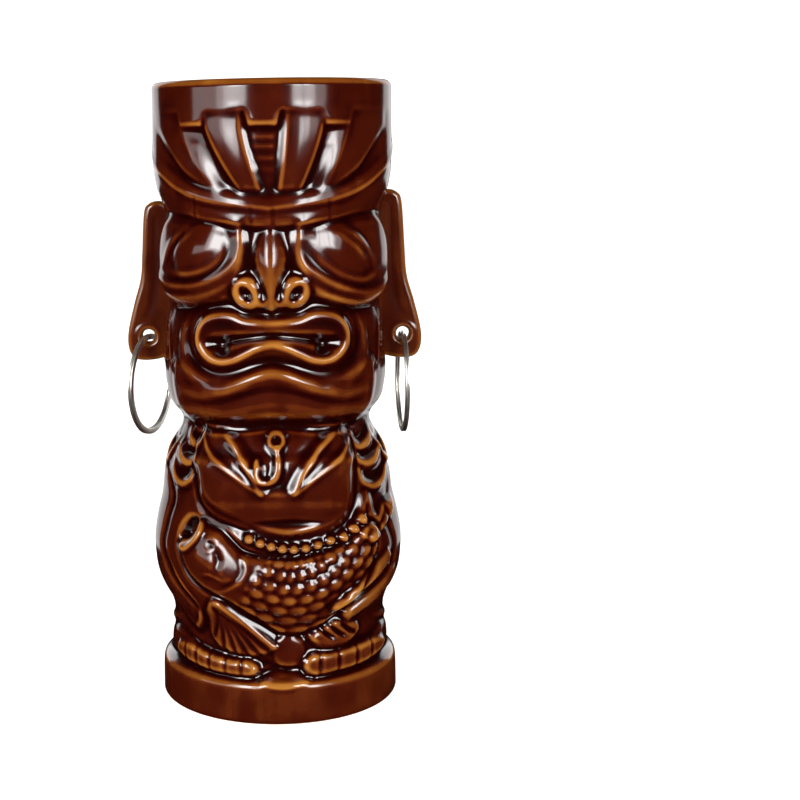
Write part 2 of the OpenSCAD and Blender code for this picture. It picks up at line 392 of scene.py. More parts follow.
def eyes(r):
    """Bulging eyes, each in a nest of folds. Between them the brow leans forward."""
    near = soft_step((24 - np.abs(r.deg)) / 12)
    under = r.row - through(BRIM_LOWER, np.abs(r.deg))
    lean = through([(-20, 0), (-15, 0), (-9, 0.2), (-4, 0.9), (-1.5, 1.3), (0, 1.3), (1, 0),
                    (2, 0)], np.clip(under, -20, 1))
    r.h += near * lean
    for mound, lid, bag, creases, side in (
            (LEFT_MOUND, LEFT_LID, LEFT_BAG, LEFT_CREASES, -1),
            (RIGHT_MOUND, RIGHT_LID, RIGHT_BAG, RIGHT_CREASES, 1)):
        r.slab(front(mound), 1.4, 2.0, 0.3)
        r.dome(front([(side * 18.6, 126)])[0], (10.8, 7.2), 3.4, turn=side * -32, blend=0.6,
               base=0.7, power=1.5)
        r.ridge(front(lid), 2.2, [0.6, 1.1, 1.1, 1.0, 0.6])
        r.ridge(front(bag), 2.3, [0.4, 0.9, 1.0, 0.9, 0.5])
        for crease, rise in zip(creases, (0.7, 0.5, 0.4)):
            r.ridge(front(crease), 1.9, [0.3 * rise, rise, rise, rise, 0.3 * rise])


def nose(r):
    """A spindle-shaped bridge between two slanted nostril rings."""
    r.bar(front([(-6.8, 114.3), (0, 113.6), (6.8, 114.3)]), [2.3, 1.9, 2.3], [3.0, 3.3, 3.0],
          blend=1.2)
    for side in (-1, 1):
        r.dome(front([(side * 6.0, 115.9)])[0], (4.4, 4.8), 4.0, turn=side * -28, blend=0.9)
    bridge = [(0, 132), (0, 112.2)]
    r.bar(front(bridge), [2.6, 3.6, 4.3, 4.4, 3.9, 2.9, 2.0, 1.7, 1.5],
          [2.0, 2.8, 3.5, 4.0, 4.2, 4.2, 4.0, 3.8, 3.2], blend=0.6, square=1.4)
    for side in (-1, 1):
        r.pit(front([(side * 6.1, 115.7)])[0], (2.3, 3.4), 4.6, turn=side * -30)
        r.ridge(front([(side * 3.4, 119), (side * 2.7, 116.4), (side * 2.0, 113.9)]), 0.95,
                [-0.5, -1.3, -0.8])
    r.ridge(front(both_sides([(-9, 112), (-5, 110.8), (0, 110.7)])), 1.2, -0.6)
    r.tint(front([(-4, 124), (0, 134), (4, 124), (2, 115), (-2, 115)]), -0.1, 1.2)


def mouth(r):
    """Wide lips with a thin crest all round, a narrow slit and a dark pocket at each corner."""
    near = soft_step((27 - np.abs(r.deg) * REF_R * np.pi / 180) / 8)
    r.h += near * through([(90, 0), (94, 0), (101, 0.1), (107, 0.7), (110.5, 0.8), (113, 0.2),
                           (115, 0)], np.clip(r.row, 90, 115))
    r.ridge(front(whole(LIP_GROOVE)), 2.1, -0.4, closed=True)
    r.slab(front(whole(LIPS)), 1.6, 3.0)
    r.ridge(front(whole(LIP_CREST)), 1.5, 0.7, closed=True)
    r.slab(front(whole(LIP_CREST)), -0.9, 3.2)
    r.tint(front(whole(LIPS)), 0.03, 1.5)
    # Painted shade: the glaze inside the lip crest is drawn darker, for the shade in the mouth's
    # hollow and slit.
    r.tint(front(whole(LIP_CREST)), -0.22, 2.0)
    slit = both_sides([(-15.5, 102.6), (-11, 103.4), (-5.5, 104.3), (0, 104.7)])
    r.ridge(front(slit), [2.6, 2.3, 1.4, 1.2, 1.4, 2.3, 2.6], -2.6)
    for side in (-1, 1):
        r.pit(front([(side * 13.4, 101.2)])[0], (3.8, 3.0), 2.2, turn=side * 10)
        ring = CHEEK_RING if side > 0 else mirrored(CHEEK_RING)
        r.ridge(front(ring), 3.0, [0.2, 0.6, 0.7, 0.6, 0.3])


def chin(r):
    low = [(x, z - 0.8) for x, z in CHIN_EDGE]
    r.slab(front([(-27, 98)] + CHIN_EDGE[1:-1] + [(27, 98), (14, 96), (0, 98.5), (-14, 96)]),
           1.0, 3.5)
    r.ridge(front(CHIN_FOLD), 3.0, [0.4, 0.8, 1.1, 1.2, 1.1, 0.8, 0.4])
    r.ridge(front(CHIN_CUT), 1.7, [-0.15, -0.3, -0.4, -0.3, -0.15])
    r.ridge(front(CHIN_LOW), 2.3, [0.15, 0.25, 0.3, 0.25, 0.15])
    r.ridge(front(low), 1.2, [0, -1.2, -1.6, -1.6, -1.6, -1.2, 0])
    for side in (-1, 1):
        r.ridge(front([(side * 28.4, 109), (side * 28.7, 100), (side * 28.3, 91)]), 1.6,
                [0, 0.5, 0.5, 0])


def face(r):
    chin(r)
    eyes(r)
    mouth(r)
    nose(r)


# ---------------------------------------------------------------- chest

BELLY = [(-19.6, 73), (-20, 67), (-19.5, 62), (-18, 59.5), (-14, 57), (-6.5, 54.3), (0.5, 52),
         (5.2, 51.5), (11, 51.8), (16.5, 53.5), (19.7, 56.6), (20.7, 60.5), (20.2, 67), (19, 73)]
COLLAR = [([(-18.2, 78.3), (-15.8, 73.9), (-9.5, 68.4), (-6.4, 65.9), (-3.2, 63.7)],
           [(-11.7, 78.8), (-9.2, 75), (-6.4, 70), (-4.5, 66.2), (-3.1, 63.7)]),
          ([(20.2, 76.4), (14.9, 71.1), (9.9, 67.5), (5.5, 63.7)],
           [(14.6, 78.6), (10.8, 74.4), (8, 70), (6.1, 66.2), (4.8, 63.5)])]
LEAVES = [[(-23.2, 77.2), (-22.6, 74.9), (-20.9, 74.2), (-19, 75.2), (-18, 77.6)],
          [(-26.3, 73.2), (-25.8, 70.3), (-23.4, 69.4), (-21, 71.2), (-20, 74.6)],
          [(-28.3, 67.6), (-27.6, 64.6), (-25.3, 63.6), (-22.7, 65.4), (-21.2, 69.4)],
          [(20.7, 76.6), (21.5, 74), (23.5, 72.9), (25.4, 74.2), (25.8, 76.8)],
          [(21.4, 72.8), (22.4, 70), (24.9, 68.5), (27.4, 69.2), (28.2, 72.8)],
          [(22.6, 67.2), (24, 63.6), (27.2, 61.9), (29.8, 63.4), (30.4, 67.4)]]


def chest(r):
    """Open collar, plain belly with its navel, and a fish-hook pendant."""
    near = soft_step((52 - np.abs(r.deg)) / 22)
    r.h += near * through([(46, 0), (50, 0.1), (58, 0.7), (66, 2), (71, 3), (74, 3.9),
                           (76.5, 4.4), (78.5, 4.1), (79.8, 2.7), (80.8, 0.6), (81.4, 0)],
                          np.clip(r.row, 46, 81))
    r.slab(front(BELLY), 0.9, 2.6, 0.5)
    r.slab(front([(-12, 80), (15, 80), (10.6, 74), (7.4, 69), (4.6, 63.6), (0.6, 63.2),
                  (-2.8, 63.8), (-6, 70), (-8.8, 75)]), -1.5, 2.4)
    for outer, inner in COLLAR:
        line = smooth_line(front(outer))
        r.slab(np.vstack([line, smooth_line(front(inner))[::-1]]), -0.55, 1.1, smooth=False)
        r.ridge(front(outer), 1.0, [0.4, 0.7, 0.7, 0.7])
        r.ridge(front(inner), 1.0, [0.3, 0.7, 0.8, 0.8, 0.7])
    r.pit(front([(1.2, 79)])[0], (11, 6), 1.6)
    r.ridge(front([(-17, 61), (-12, 59.7), (-4, 59.6), (6, 59.5), (13, 59.6), (18, 61)]), 3.2,
            [0, 0.35, 0.4, 0.35, 0])
    r.tint(front([(-17.5, 60.5), (-9, 62.6), (6, 63), (18.5, 60.5), (17, 57.4), (9, 58.6),
                  (-5, 58.8), (-12, 58.2)]), 0.12, 2.0)
    r.slab(front([(-6.5, 56.2), (0.5, 57.2), (7, 57.1), (14.2, 55.4), (9.5, 54.4), (3.5, 54),
                  (-2.5, 54.4)]), -0.9, 1.5)
    r.ridge(front([(-4, 54.2), (3.5, 53.2), (11, 54.2)]), 1.3, [0.2, 0.7, 0.2])
    r.ridge(front([(-21, 76), (-21.2, 66), (-20.3, 60), (-17, 56.2), (-8, 53.2)]), 1.4, -0.9)
    r.ridge(front([(20.6, 75), (21.6, 66), (21.6, 59), (19.5, 54.5), (15, 51.8)]), 1.4, -0.9)
    hook(r)


def hook(r):
    """A plain fish hook on a ring, hung in the open collar."""
    eye = circle((0.6, 76.9), 1.7, np.linspace(0, 5.5, 8))
    r.ridge(front(eye), 1.15, 1.7, closed=True)
    bend = [(0.8, 75.2), (1.1, 72), (1, 69.3), (0, 67.2), (-2, 66.4), (-3.7, 67.6),
            (-4.2, 69.8), (-4.2, 72)]
    r.ridge(front(bend), [1.2, 1.2, 1.3, 1.4, 1.3, 1.1, 0.8], 1.9)
    r.ridge(front([(-4, 71), (-2.7, 69.9)]), 0.8, 1.3)


def leaf_cup(r, line):
    """One hollow leaf: a pocket inside a raised U-shaped rim."""
    ring = smooth_line(line)
    r.slab(ring, -0.9, 1.7, smooth=False)
    r.ridge(line, [1.3, 1.7, 2.1, 1.7, 1.3], [0.6, 1.3, 1.5, 1.3, 0.6])


def garland(r):
    """Overlapping leaves down the front of each shoulder and on round the back of the neck."""
    for leaf in LEAVES:
        leaf_cup(r, front(leaf))
    for i in range(9):
        deg = 80 + 25 * i
        sag = 4.5 * math.sin(math.pi * i / 8)
        leaf_cup(r, around([(deg - 9.5, 74 - sag), (deg, 67.5 - sag), (deg + 9.5, 74 - sag)]))


# ---------------------------------------------------------------- arms and fish

LEFT_HAND = [(-62, 60), (-64, 52), (-66, 45), (-59, 39.5), (-50.5, 34.5), (-42, 30.2),
             (-39.5, 26.6), (-41.5, 23.8), (-46, 22.4), (-54, 24), (-70, 29), (-92, 34),
             (-104, 46), (-104, 60), (-90, 68), (-74, 66)]
RIGHT_FOREARM = [(64, 56), (72, 58), (90, 66), (104, 60), (104, 46), (92, 34), (74, 30),
                 (66, 36), (70, 44), (66, 50)]


def arms(r):
    """The left arm hangs to a tapered hand. The right one's fingers hold the tail."""
    for outline in (LEFT_HAND, RIGHT_FOREARM):
        ring = around(outline)
        r.ridge(ring, 1.6, -0.4, closed=True)
        r.slab(ring, 0.5, 2.0, 0.2)
    r.ridge(front([(-29.9, 43), (-28, 39), (-24.8, 34.6), (-21.4, 30.4), (-20.8, 26.6),
                   (-22, 24)]), 1.0, [0, 0.4, 0.6, 0.7, 0.7, 0.3])
    r.bar(front([(30.3, 42), (25.5, 38.6), (19, 34.7), (15.4, 32.4)]), [2.3, 2.2, 2.0, 1.7],
          [1.2, 2.2, 2.9, 2.6], blend=0.6)
    r.bar(front([(31.5, 36), (29, 33.8), (24, 31), (19.3, 28.4)]), [3.0, 2.8, 2.6, 2.2],
          [1.0, 1.8, 2.4, 2.2], blend=0.6)
    r.ridge(front([(28.5, 37), (22, 33.3), (16.5, 30.2)]), 0.8, -1.0)
    for side in (-1, 1):
        r.ridge(around([(side * 64, 24.5), (side * 84, 22), (side * 104, 21)]), 1.6,
                [0.2, 0.7, 0.7, 0.2])


FISH = [(-20, 55.2), (-17.5, 54.2), (-14, 53), (-11, 50.2), (-8.3, 48.1), (-2.2, 47), (6.5, 46.8),
        (13.4, 48), (17.9, 49.4), (20.5, 52), (24.5, 54), (27.5, 51), (27.8, 46), (26.3, 41.5),
        (23.6, 38), (19.6, 32.6), (15, 27.4), (8.8, 24.3), (4.4, 23.6), (0.8, 24), (-3.6, 26.8),
        (-8.8, 30.6), (-15, 34), (-19.5, 36), (-23, 38.4), (-25.3, 41.5), (-26.7, 46), (-26.3, 49)]
FISH_SPINE = [(-19, 45.5), (-12, 41.5), (-5, 37.5), (3, 35.3), (11, 36.5), (18, 40.6), (23, 46),
              (25.5, 51.5)]
SCALE_STEP = 3.9
BEADS = [(-6.7, 51.4), (-3.8, 50.4), (-0.9, 49.6), (2, 49), (5, 48.7), (8.1, 48.8), (11.3, 49.4),
         (14.7, 50.2), (18.3, 50.6), (20.6, 52.4), (22.6, 54.6)]


def scales(r):
    """Rows of overlapping scales that follow the fish's curved back."""
    spine = smooth_line(front(FISH_SPINE))
    outline = smooth_line(front(FISH), True)
    loop = np.vstack([outline, outline[:1]])
    length = np.hypot(*np.diff(spine, axis=0).T).sum()
    for at, s, z in r.windows(outline, 0.5):
        _, along = nearest(s, z, spine)
        on_spine = np.stack([np.interp(along, np.linspace(0, 1, len(spine)), spine[:, k])
                             for k in (0, 1)])
        gap, _ = nearest(s, z, loop)
        covered = inside(s, z, outline) & (along > 0.2)
        ahead = np.gradient(spine, axis=0)
        tangent = np.stack([np.interp(along, np.linspace(0, 1, len(spine)), ahead[:, k])
                            for k in (0, 1)])
        side = np.sign(tangent[0] * (z - on_spine[1]) - tangent[1] * (s - on_spine[0]))
        off = side * np.hypot(s - on_spine[0], z - on_spine[1])
        pads = scale_pattern(along * length, off)
        fade = soft_step((gap - 0.3) / 1.0) * soft_step((along - 0.22) / 0.06) * covered
        r.h[at] += fade * (pads - 0.65)


def scale_pattern(u, v):
    """Height of staggered round scales at places u along and v across the fish."""
    best = np.zeros(u.shape)
    pitch_v = SCALE_STEP * 0.82
    row = np.round(v / pitch_v)
    for k in (-1, 0, 1):
        line = row + k
        shift = 0.5 * SCALE_STEP * (line % 2)
        cell = np.round((u - shift) / SCALE_STEP)
        for m in (-1, 0, 1):
            du = u - shift - (cell + m) * SCALE_STEP
            dv = v - line * pitch_v
            t = np.hypot(du / (0.66 * SCALE_STEP), dv / (0.50 * SCALE_STEP))
            best = np.maximum(best, (1.25 + 0.15 * du) * half_round(np.clip(t, 0, 1) ** 1.4))
    return best


def fish(r):
    r.ridge(front(FISH), 1.3, -0.9, closed=True)
    r.slab(front(FISH), 1.0, 2.6, 1.7)
    scales(r)
    r.ridge(front([(-8.6, 47), (-7.4, 43.8), (-8.6, 40.6), (-12.5, 37.6), (-16, 36.2)]), 1.1,
            [0.1, 0.3, 0.35, 0.3, 0.1])
    r.ridge(front([(-9.6, 47), (-8.6, 43.8), (-9.8, 41), (-13.4, 38.2)]), 0.8, -0.25)
    r.ridge(front([(-21, 40.5), (-17, 41.5), (-13.5, 40.3), (-11, 41)]), 0.8, [0, 0.4, 0.4, 0])
    r.ridge(front([(-20.5, 55.2), (-19.4, 52.8), (-21.3, 49.4), (-24, 47), (-26.3, 47.3)]),
            [0.9, 1.1, 1.2, 1.1, 0.9], [1.0, 1.3, 1.3, 1.2, 1.0])
    r.slab(front([(-21.3, 55.5), (-21, 52.8), (-22.6, 50), (-25, 48.4), (-27, 49.4),
                  (-25.8, 52.8), (-23.6, 55.3)]), -3.0, 1.3)
    r.ridge(front([(-15.6, 48.6), (-14.6, 45.4), (-15.4, 42)]), 1.5, [-0.2, -0.7, -0.2])
    eye = front([(-16.8, 49.4)])[0]
    r.ridge(circle(eye, 1.7, np.arange(0, 6.2, 0.9)), 0.9, 0.22, closed=True)
    r.pit(eye, (1.2, 1.2), 0.35)
    r.ridge(front([(-10, 52.5), (-5, 49.3), (3, 47.8), (10, 48), (17, 49.6), (20, 51.2)]), 0.9,
            [-0.3, -0.9, -1, -0.9, -0.4])
    for x, z in BEADS:
        r.dome(front([(x, z)])[0], (1.25, 1.25), 2.6, blend=0.3)
    fins(r)


def fins(r):
    """The forked tail, the broad fan fin below the head and the slotted fin behind it."""
    tail = [(20.4, 53), (21.3, 56.5), (24.2, 61.6), (26, 58.5), (27, 55.2), (29, 57.6),
            (31.6, 57.4), (31.6, 52.7), (29, 49.2), (25.5, 47.4), (22, 49.5)]
    r.slab(front(tail), 1.5, 1.6)
    r.ridge(front([(21, 53.5), (21.8, 57), (24.2, 61.3), (26.4, 57.6)]), 0.8, [0.2, 0.6, 0.7, 0.2])
    for slot in ([(24, 58), (24, 54), (23.5, 50)], [(29.3, 55.5), (28, 52.3), (26, 49.6)]):
        r.ridge(front(slot), 0.7, [-0.3, -0.6, -0.2])

    fan = [(-18.6, 33.2), (-15, 33.5), (-10, 29.8), (-4, 25), (0.6, 21.4), (-0.4, 19.4),
           (-3.5, 18.2), (-7.5, 17.6), (-12, 18), (-15.7, 19.8), (-18, 23), (-18.9, 28.5)]
    r.slab(front(fan), 1.2, 1.4)
    r.ridge(front([(-16, 33), (-11, 29.6), (-5, 25), (0, 20.9)]), 1.15, [0.3, 0.6, 0.8, 0.8])
    for x, z in ((-1.6, 19.4), (-4.5, 18.6), (-7.6, 18.2), (-11, 18.6), (-14.2, 20), (-16.6, 23)):
        middle = ((-17 + x) / 2 + 1, (32 + z) / 2 - 0.6)
        r.ridge(front([(-16.6, 31), middle, (x, z)]), [0.5, 0.8, 0.95], [-0.2, -0.55, -0.6])
    r.ridge(front([(-18.7, 31), (-18.7, 27), (-17.6, 22.8), (-15, 19.6)]), 0.8, 0.5)

    low = [(7.5, 24.6), (10, 21.4), (14.8, 19.4), (19.5, 20.3), (22.3, 23), (21.2, 26),
           (15.3, 27.3)]
    r.slab(front(low), 1.3, 1.2)
    r.ridge(front([(9.5, 22.4), (12, 20.3), (16, 19.4), (20, 20.8), (22.2, 23.2)]), 1.0, 0.8)
    for x in (12.2, 15.2, 18.2):
        r.ridge(front([(x - 0.9, 25.8), (x + 0.8, 23.8), (x + 2.6, 22.4)]), 0.75,
                [-0.8, -1.5, -0.9])


# ---------------------------------------------------------------- feet and plinth

LEFT_FOOT = [(-27.5, 14.5), (-27, 18.6), (-23.5, 19.6), (-18, 18.4), (-12, 17.8), (-7, 18),
             (-4.6, 16.4), (-4.4, 13.8), (-7, 12.2), (-14, 12.1), (-22, 12.6)]
RIGHT_FOOT = [(6.5, 13.8), (6.4, 17), (8.8, 19.2), (14, 19.3), (20, 19.5), (26, 19.7), (28.8, 18),
              (29, 14.5), (25, 12.7), (16, 12.2), (9, 12)]
LEFT_GAPS = (-9.4, -13.7, -18, -21.6, -24.6)
RIGHT_GAPS = (11.3, 16.2, 21, 25)


def feet(r):
    """Two rows of toes on the plinth, a low swelling between the feet and a lip under them."""
    r.dome(front([(3.4, 19.4)])[0], (4.6, 5.0), 1.1, blend=1.0)
    r.slab(front([(-10, 16.5), (-3, 18), (0, 16.8), (3.4, 15.6), (6.6, 17), (3.4, 13.8)]),
           -0.6, 1.5)
    for foot, gaps in ((LEFT_FOOT, LEFT_GAPS), (RIGHT_FOOT, RIGHT_GAPS)):
        r.slab(front(foot), 2.0, 1.7)
        r.tint(front(foot), 0.10, 1.5)
        for x in gaps:
            r.ridge(front([(x, 12.8), (x, 15.5), (x, 19.2)]), 0.8, [-0.3, -0.7, -0.3])
    for side in (-1, 1):
        r.ridge(around([(side * 9, 12.2), (side * 30, 12), (side * 60, 12.4)]), 0.8, [0, -0.4, 0])
    for side, start in ((-1, 52), (1, 62)):
        heel = [(side * start, 16.5), (side * (start + 14), 17.5), (side * (start + 34), 16)]
        r.bar(around(heel), [3.6, 3.6, 2.4], [1.3, 1.1, 0.4], blend=1.0)
    lens = [(-5.2, 11), (-2.9, 13.1), (0.5, 14), (3.4, 14), (6.8, 13.3), (9.6, 11.2), (5.5, 9.9),
            (1.5, 9.5), (-2.5, 10)]
    r.slab(front(lens), 0.6, 1.3)
    r.ridge(front([(-5, 12.4), (-2.5, 14.2), (2, 15), (6.8, 14.4), (9.6, 12.4)]), 1.0, -0.7)
    r.tint(front(lens), 0.22, 1.2)


# ---------------------------------------------------------------- sides and back

def back(r):
    """The back: combed hair with a band below it, a plain spine and hips."""
    for i in range(15):
        deg = 107 + i * 10.43
        sway = 2.5 * math.sin(0.9 * i)
        top = through(BRIM_LOWER, min(deg, 360 - deg)) - 3
        r.ridge(around([(deg, top), (deg + sway, 128), (deg - sway, 108), (deg + sway, 90)]), 1.5,
                [-0.2, -0.9, -0.9, -0.9, -0.3])
    r.ridge(around([(100, 88), (140, 85.5), (180, 84.5), (220, 85.5), (260, 88)]), 1.6,
            [0.1, 0.8, 0.9, 0.8, 0.1])
    r.ridge(around([(180, 60), (180, 45), (180, 31)]), 2.6, [-0.2, -0.9, -0.9, -0.5])
    for side in (-1, 1):
        hip = 180 + side * 4
        r.ridge(around([(hip, 29), (hip + side * 24, 25), (hip + side * 52, 27)]), 2.0,
                [-1.2, -1.3, -0.3])


def carve(s, z):
    """The whole carving, in millimetres over the turned wall."""
    r = Relief(s, z)
    headdress(r)
    face(r)
    back(r)
    garland(r)
    chest(r)
    arms(r)
    fish(r)
    feet(r)
    return r.h, r.tone


# ---------------------------------------------------------------- the mug's mesh

def column_places():
    """Columns of the grid, close together on the carved front."""
    fine = np.arange(-FRONT_HALF, FRONT_HALF, FRONT_STEP)
    coarse = np.arange(FRONT_HALF, TURN - FRONT_HALF, BACK_STEP)
    places = np.concatenate([fine, coarse])
    places = np.where(places >= TURN / 2, places - TURN, places)
    return np.sort(places)


def blur_weights(gap, spacing, sigma):
    """Rows of weights that blur values at uneven places, from the gaps between the places."""
    weights = np.exp(-0.5 * (gap / sigma) ** 2) * spacing[None, :]
    return weights / weights.sum(axis=1, keepdims=True)


def blurred(values, z, s, sigma):
    """Values on the grid, blurred over about sigma. The columns close round the mug."""
    up = blur_weights(z[:, None] - z[None, :], np.gradient(z), sigma)
    spacing = np.gradient(np.concatenate([[s[-1] - TURN], s, [s[0] + TURN]]))[1:-1]
    gap = (s[:, None] - s[None, :] + TURN / 2) % TURN - TURN / 2
    return up @ values @ blur_weights(gap, spacing, sigma).T


def grid_faces(rows, cols):
    """Corner numbers of the quads between rows that close round on themselves."""
    i, j = np.meshgrid(np.arange(rows - 1), np.arange(cols), indexing="ij")
    k = (j + 1) % cols
    quads = np.stack([i * cols + j, i * cols + k, (i + 1) * cols + k, (i + 1) * cols + j], -1)
    return quads.reshape(-1, 4)


def new_object(name, data):
    obj = bpy.data.objects.new(name, data)
    bpy.context.scene.collection.objects.link(obj)
    return obj


def mesh_from(name, points, faces):
    """A smooth-shaded object from arrays of points and of faces with equal numbers of corners."""
    mesh = bpy.data.meshes.new(name)
    mesh.vertices.add(len(points))
    mesh.vertices.foreach_set("co", (np.asarray(points) * MM).astype(np.float32).ravel())
    corners = sum(f.size for f in faces)
    mesh.loops.add(corners)
    mesh.loops.foreach_set("vertex_index", np.concatenate([f.ravel() for f in faces]))
    counts = np.concatenate([np.full(len(f), f.shape[1]) for f in faces])
    mesh.polygons.add(len(counts))
    mesh.polygons.foreach_set("loop_start", np.concatenate([[0], np.cumsum(counts)[:-1]]))
    mesh.polygons.foreach_set("loop_total", counts)
    mesh.update(calc_edges=True)
    mesh.validate()
    mesh.shade_smooth()
    return new_object(name, mesh)


def add_attribute(obj, name, values):
    layer = obj.data.attributes.new(name, "FLOAT", "POINT")
    layer.data.foreach_set("value", np.asarray(values, np.float32))


def arc(centre, radius, start, stop, count):
    """(radius, z) points on a circle in the section, angles in degrees."""
    return circle(centre, radius, np.radians(np.linspace(start, stop, count)))


def inner_section():
    """Section of the rim's inner half, the cavity and its rounded floor, from the rim down."""
    lip = WALL / 2
    rim = arc((RIM_R - lip, HEIGHT - lip), lip, 80, 180, 9)
    heights = np.arange(HEIGHT - lip - 1.2, FLOOR_Z + 8, -1.2)
    soft = [np.mean(wall_radius(np.linspace(max(z - 3, 0), z + 3, 9))) for z in heights]
    wall = [(radius - WALL, z) for radius, z in zip(soft, heights)]
    last = wall[-1][0]
    corner = arc((last - 6, FLOOR_Z + 6), 6, 0, -90, 9)
    floor = [(last * k, FLOOR_Z) for k in (0.6, 0.4, 0.2, 0.05)]
    return rim + wall + corner + floor


def foot_section():
    """Section of the underside, from its middle out to the wall."""
    recess = [(k * FOOT_R, 1.5) for k in (0.05, 0.3, 0.6)] + [(26, 1.5)]
    step = arc((26.2, 0.9), 0.6, 90, 0, 4)[1:] + arc((27.5, 0.7), 0.7, 180, 270, 4)
    edge = arc((32.3, 1.0), 1.0, 270, 350, 6)
    return recess + step + [(29, 0), (31, 0)] + edge


def glaze_thinness_and_shade(wall, clay, tone, s, z):
    """How thin the glaze lies, with shade painted in by the tone: more over edges, less in
    grooves. 0 is thick and 1 is thin.
    """
    fine = clay - blurred(wall, z, s, GLAZE_BLUR)
    broad = clay - blurred(wall, z, s, BROAD_BLUR)
    plinth = 0.08 * soft_step((12 - z) / 1.5)[:, None]
    band = -0.03 * soft_step((z - 160) / 3)[:, None]
    thin = 0.365 + tone + plinth + band + 0.07 * broad + 1.8 * np.clip(fine, -1, 0)
    return thin + 0.52 * np.tanh(4.6 * np.clip(fine - 0.035, 0, 1))


def glazed_wall(wall, s, z):
    """The wall's radius under its glaze, which softens the upper part more than the lower."""
    glazed = blurred(wall, z, s, GLAZE_BLUR)
    share = soft_step((60 - z) / 12)[:, None]
    return glazed + share * (blurred(wall, z, s, LOW_GLAZE_BLUR) - glazed)


def mug_rings(s, z):
    """Rings of the closed skin from the underside, up the wall, over the rim and down inside.

    Gives their radii, heights and glaze with the shade painted into it, and the number of rings
    under the wall."""
    raised, tone = carve(s, z)
    ends = soft_step((z - 2) / 3)[:, None]
    wall = wall_radius(z)[:, None] + raised * ends
    clay = blurred(wall, z, s, CLAY_BLUR)
    under = np.array(foot_section())
    lip = WALL / 2
    over = np.array(arc((RIM_R - lip, HEIGHT - lip), lip, 10, 70, 5) + inner_section())
    rim_glaze = 0.34 + 0.42 * bump((over[:, 1] - HEIGHT + 0.6) / 3.0)
    flat = np.ones((1, len(s)))
    radii = np.vstack([under[:, :1] * flat, glazed_wall(wall, s, z), over[:, :1] * flat])
    heights = np.vstack([under[:, 1:] * flat, z[:, None] * flat, over[:, 1:] * flat])
    paint = np.vstack([np.full((len(under), len(s)), 0.35),
                       glaze_thinness_and_shade(wall, clay, tone, s, z), rim_glaze[:, None] * flat])
    return radii, heights, paint, len(under)


def build_mug():
    s = column_places()
    z = np.arange(1.4, HEIGHT - WALL / 2, ROW_STEP)
    theta = s / REF_R
    radii, heights, paint, under = mug_rings(s, z)
    points = np.stack([radii * np.sin(theta), -radii * np.cos(theta), heights], -1).reshape(-1, 3)
    rows, cols = radii.shape
    quads = grid_faces(rows, cols)
    bottom, top = len(points), len(points) + 1
    points = np.vstack([points, [0, 0, heights[0, 0]], [0, 0, heights[-1, 0]]])
    j = np.arange(cols)
    k = (j + 1) % cols
    last = (rows - 1) * cols
    fans = np.vstack([np.column_stack([k, j, np.full(cols, bottom)]),
                      np.column_stack([last + j, last + k, np.full(cols, top)])])
    mug = mesh_from("mug_glazed_body", points, [quads, fans])
    add_attribute(mug, "thin", np.clip(np.concatenate([paint.ravel(), [0.35, 0.3]]), 0, 1))
    bare = np.zeros(len(quads) + len(fans), np.int32)
    bare[under // 2 * cols:(under - 3) * cols] = 1
    return mug, bare


# ---------------------------------------------------------------- ears

EAR_Y = 5.0
EAR_HALF = 2.3
EAR_HOLE = (35.6, 100.8)
EAR_GRID = 0.22
TALLER_FROM = 114.0               # a taller ear is drawn up from here, over this height
TALLER_OVER = 24.0
EAR_OUTLINE = [(27.4, 97), (27.4, 134), (29, 137.4), (31.5, 138.3), (34, 137.6), (35.4, 135),
               (36.2, 124), (36.8, 117), (38.8, 110), (40.7, 102), (40.6, 97), (38.8, 94.4),
               (35.4, 93.9), (31, 94.6)]
EAR_HOLLOW = [(31.2, 112), (30.8, 122), (31, 133), (32.4, 135), (33.8, 133), (34.4, 124),
              (34.8, 116.5), (36.3, 109.5), (37.2, 106.2), (33.6, 106)]


def flat_distance(x, z, ring):
    """Signed distance to a closed outline, negative inside."""
    line = smooth_line(ring, True)
    gap, _ = nearest(x, z, np.vstack([line, line[:1]]))
    return np.where(inside(x, z, line), -gap, gap)


def ear_field(x, y, z, out, taller):
    """Signed distance to the right ear: a rounded slab, hollowed in front, with a flared hole."""
    flat_x, flat_z = x[:, 0, :] - out, unstretched(z[:, 0, :], taller)
    edge = flat_distance(flat_x, flat_z, EAR_OUTLINE)[:, None, :]
    hollow = flat_distance(flat_x, flat_z, EAR_HOLLOW)[:, None, :]
    depth = y - EAR_Y
    dish = 0.2 * soft_step(-hollow / 2.6) * (depth < 0)
    side = np.abs(depth) + dish - EAR_HALF
    rounding = 1.5
    qx = np.clip(edge + rounding, 0, None)
    qy = np.clip(side + rounding, 0, None)
    slab = np.hypot(qx, qy) + np.minimum(np.maximum(edge, side) + rounding, 0) - rounding
    across = np.hypot(x - EAR_HOLE[0], z - EAR_HOLE[1])
    flare = 0.7 * np.clip(np.abs(depth) - EAR_HALF + 1.3, 0, None) ** 2 / 1.69
    hole = 1.8 + flare - across
    lip = 0.2 * bump((across - 3.2) / 1.2) * soft_step((np.abs(depth) - 1.0) / 1.0)
    return np.maximum(slab - lip, hole)


def unstretched(z, taller):
    """Heights on the common ear outline for heights on an ear whose top is that much taller."""
    return z - taller * soft_step((z - TALLER_FROM) / TALLER_OVER)


